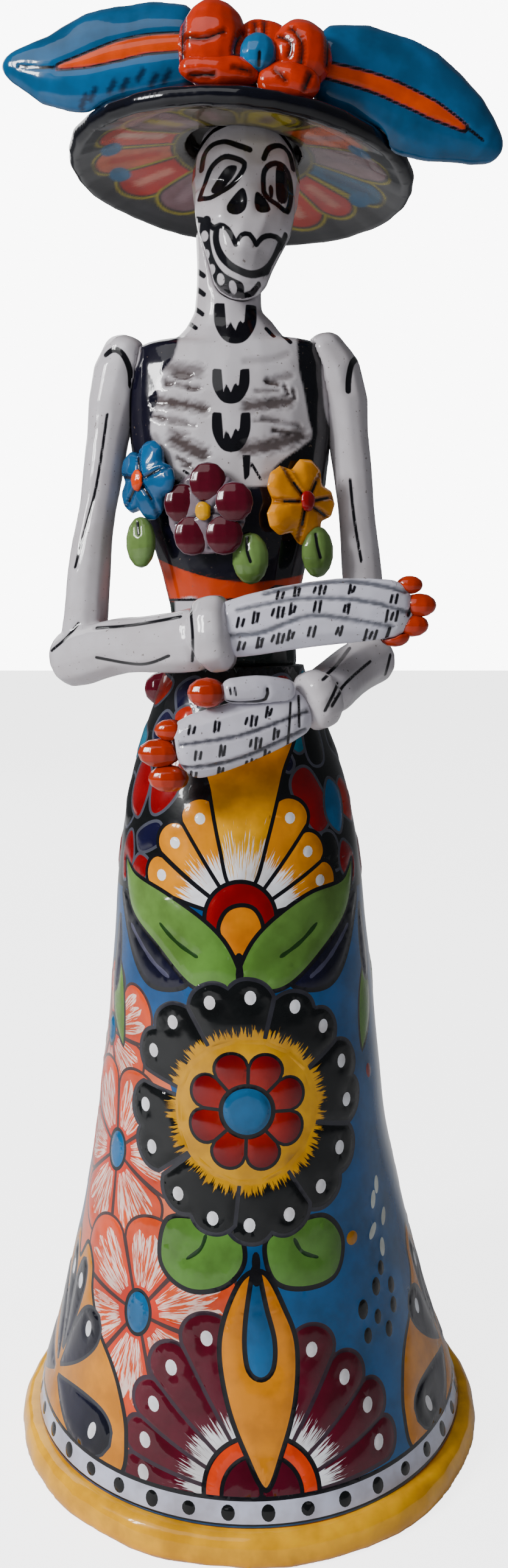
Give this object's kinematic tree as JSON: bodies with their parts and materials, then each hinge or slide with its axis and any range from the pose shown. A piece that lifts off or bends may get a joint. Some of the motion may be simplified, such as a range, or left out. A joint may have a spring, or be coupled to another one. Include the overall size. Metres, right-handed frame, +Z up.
{
  "type": "glazed ceramic catrina figure",
  "caption": "Tall glazed ceramic skeleton lady with a hollow bell skirt, folded arms, applied flowers and a wide plumed hat that lifts off.",
  "frame": {"origin": "middle of the foot ring's flat underside", "axes": "+Z up through the figure, the face looks along -Y, and the figure's own left arm is on the +X side"},
  "size_m": [0.1744, 0.1744, 0.4918],
  "materials": {
    "white_glaze": "glossy tin-white glaze with dark brush lines",
    "painted_torso": "glossy white ribs in dark grooves, navy bodice and orange waist band",
    "blue_glaze": "glossy cobalt-turquoise glaze",
    "orange_glaze": "glossy orange glaze",
    "yellow_glaze": "glossy ochre-yellow glaze",
    "burgundy_glaze": "glossy burgundy glaze",
    "green_glaze": "glossy leaf-green glaze",
    "red_glaze": "glossy red glaze",
    "painted_skirt": "glossy hand-painted flowers and leaves in outlined fields",
    "painted_brim": "glossy navy rim with a painted flowered underside"
  },
  "bodies": {
    "figure": {"skirt_foot": "yellow_glaze", "skirt_shell": "painted_skirt", "torso": "painted_torso", "neck": "white_glaze", "skull": "white_glaze", "right_forearm": "white_glaze", "right_upper_arm": "white_glaze", "right_wrist_cuff": "white_glaze", "right_hand": "white_glaze", "left_forearm": "white_glaze", "left_upper_arm": "white_glaze", "left_wrist_cuff": "white_glaze", "left_hand": "white_glaze", "left_thumb": "white_glaze", "right_fingertip_1": "orange_glaze", "right_fingertip_2": "orange_glaze", "right_fingertip_3": "orange_glaze", "right_fingertip_4": "orange_glaze", "left_fingertip_1": "orange_glaze", "left_fingertip_2": "orange_glaze", "left_fingertip_3": "orange_glaze", "left_thumb_tip": "orange_glaze", "blue_flower": "blue_glaze", "blue_flower_bead": "orange_glaze", "yellow_flower": "yellow_glaze", "yellow_flower_bead": "red_glaze", "burgundy_flower_disc": "white_glaze", "burgundy_petal_1": "burgundy_glaze", "burgundy_petal_2": "burgundy_glaze", "burgundy_petal_3": "burgundy_glaze", "burgundy_petal_4": "burgundy_glaze", "burgundy_petal_5": "burgundy_glaze", "burgundy_flower_bead": "yellow_glaze", "right_leaf": "green_glaze", "middle_leaf": "green_glaze", "left_leaf": "green_glaze", "back_bow_knot": "burgundy_glaze", "back_bow_loop_right": "burgundy_glaze", "back_bow_loop_left": "burgundy_glaze"},
    "hat": {"hat_brim": "painted_brim", "hat_crown": "blue_glaze", "right_plume": "blue_glaze", "left_plume": "blue_glaze", "bow_loop_right": "orange_glaze", "bow_loop_left": "orange_glaze", "bow_pleat": "orange_glaze", "bow_tail_right": "orange_glaze", "bow_tail_left": "orange_glaze", "bow_button": "blue_glaze"}
  },
  "joints": [
    {"name": "hat_lift", "type": "slide", "parent": "figure", "child": "hat", "axis": [0.0837, 0.0678, 0.9942], "range_m": [0, 0.07]}
  ]
}
